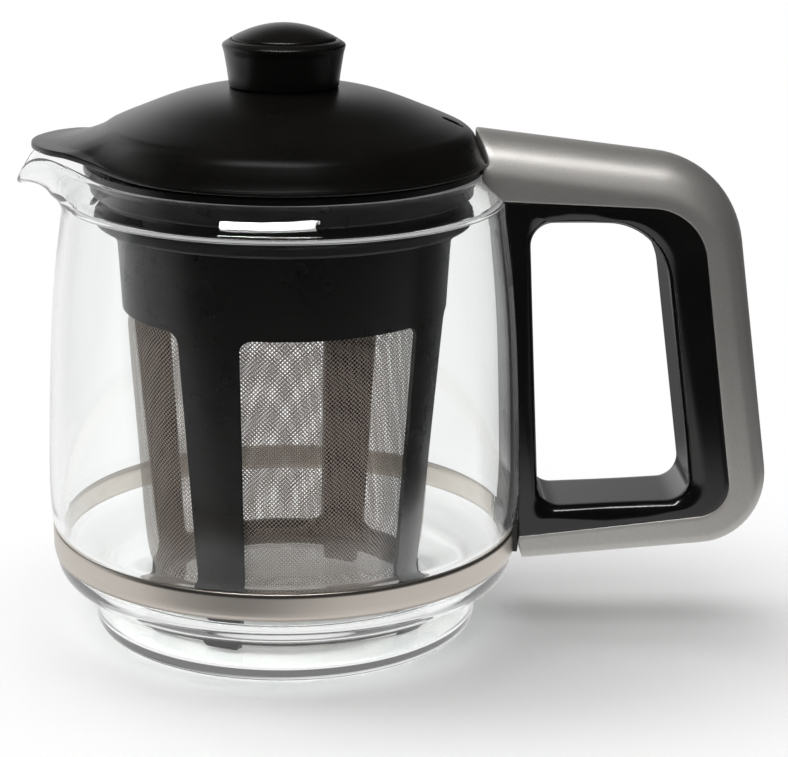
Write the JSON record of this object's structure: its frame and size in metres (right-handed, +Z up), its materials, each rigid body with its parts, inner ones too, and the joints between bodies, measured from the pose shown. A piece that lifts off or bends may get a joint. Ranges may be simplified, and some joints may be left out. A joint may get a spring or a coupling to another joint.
{
  "type": "glass teapot with infuser",
  "caption": "Straight-sided glass teapot with a pulled spout, a lift-out mesh infuser basket, a domed lid with a knob, and a two-tone D-shaped handle held by a steel band.",
  "frame": {"origin": "centre of the jug's flat underside", "axes": "+Z up, +X towards the handle, -X towards the spout"},
  "size_m": [0.2073, 0.1314, 0.1683],
  "materials": {
    "clear_glass": "clear and polished",
    "band_steel": "fine brushed",
    "silver_satin": "satin silver coating",
    "black_gloss": "soft gloss",
    "black_satin": "satin",
    "liner_black": "matte",
    "silicone_black": "matte",
    "mesh_steel": "woven wire",
    "fastener_steel": "plain"
  },
  "bodies": {
    "jug": {"glass_jug": "clear_glass", "steel_band": "band_steel", "band_clamp_block": "black_satin", "band_clamp_screw": "fastener_steel", "band_clamp_nut": "fastener_steel", "handle_shell": "silver_satin", "handle_loop": "black_gloss", "arm_end_cap": "silver_satin", "glass_cushion_upper": "silicone_black", "glass_cushion_lower": "silicone_black"},
    "infuser": {"infuser_frame": "black_satin", "infuser_mesh_wall": "mesh_steel", "infuser_mesh_floor": "mesh_steel", "infuser_lip_seal": "silicone_black"},
    "lid": {"lid_cover": "black_satin", "lid_skirt": "liner_black", "lid_seal": "silicone_black", "lid_knob": "black_satin", "knob_cap": "black_satin", "knob_screw": "fastener_steel", "knob_washer": "fastener_steel", "lid_liner_screw_1": "fastener_steel", "lid_liner_screw_2": "fastener_steel", "lid_liner_screw_3": "fastener_steel"}
  },
  "joints": [
    {"name": "infuser_lift", "type": "slide", "parent": "jug", "child": "infuser", "axis": [0, 0, 1], "range_m": [0, 0.14]},
    {"name": "lid_lift", "type": "slide", "parent": "infuser", "child": "lid", "axis": [0, 0, 1], "range_m": [0, 0.035]}
  ]
}
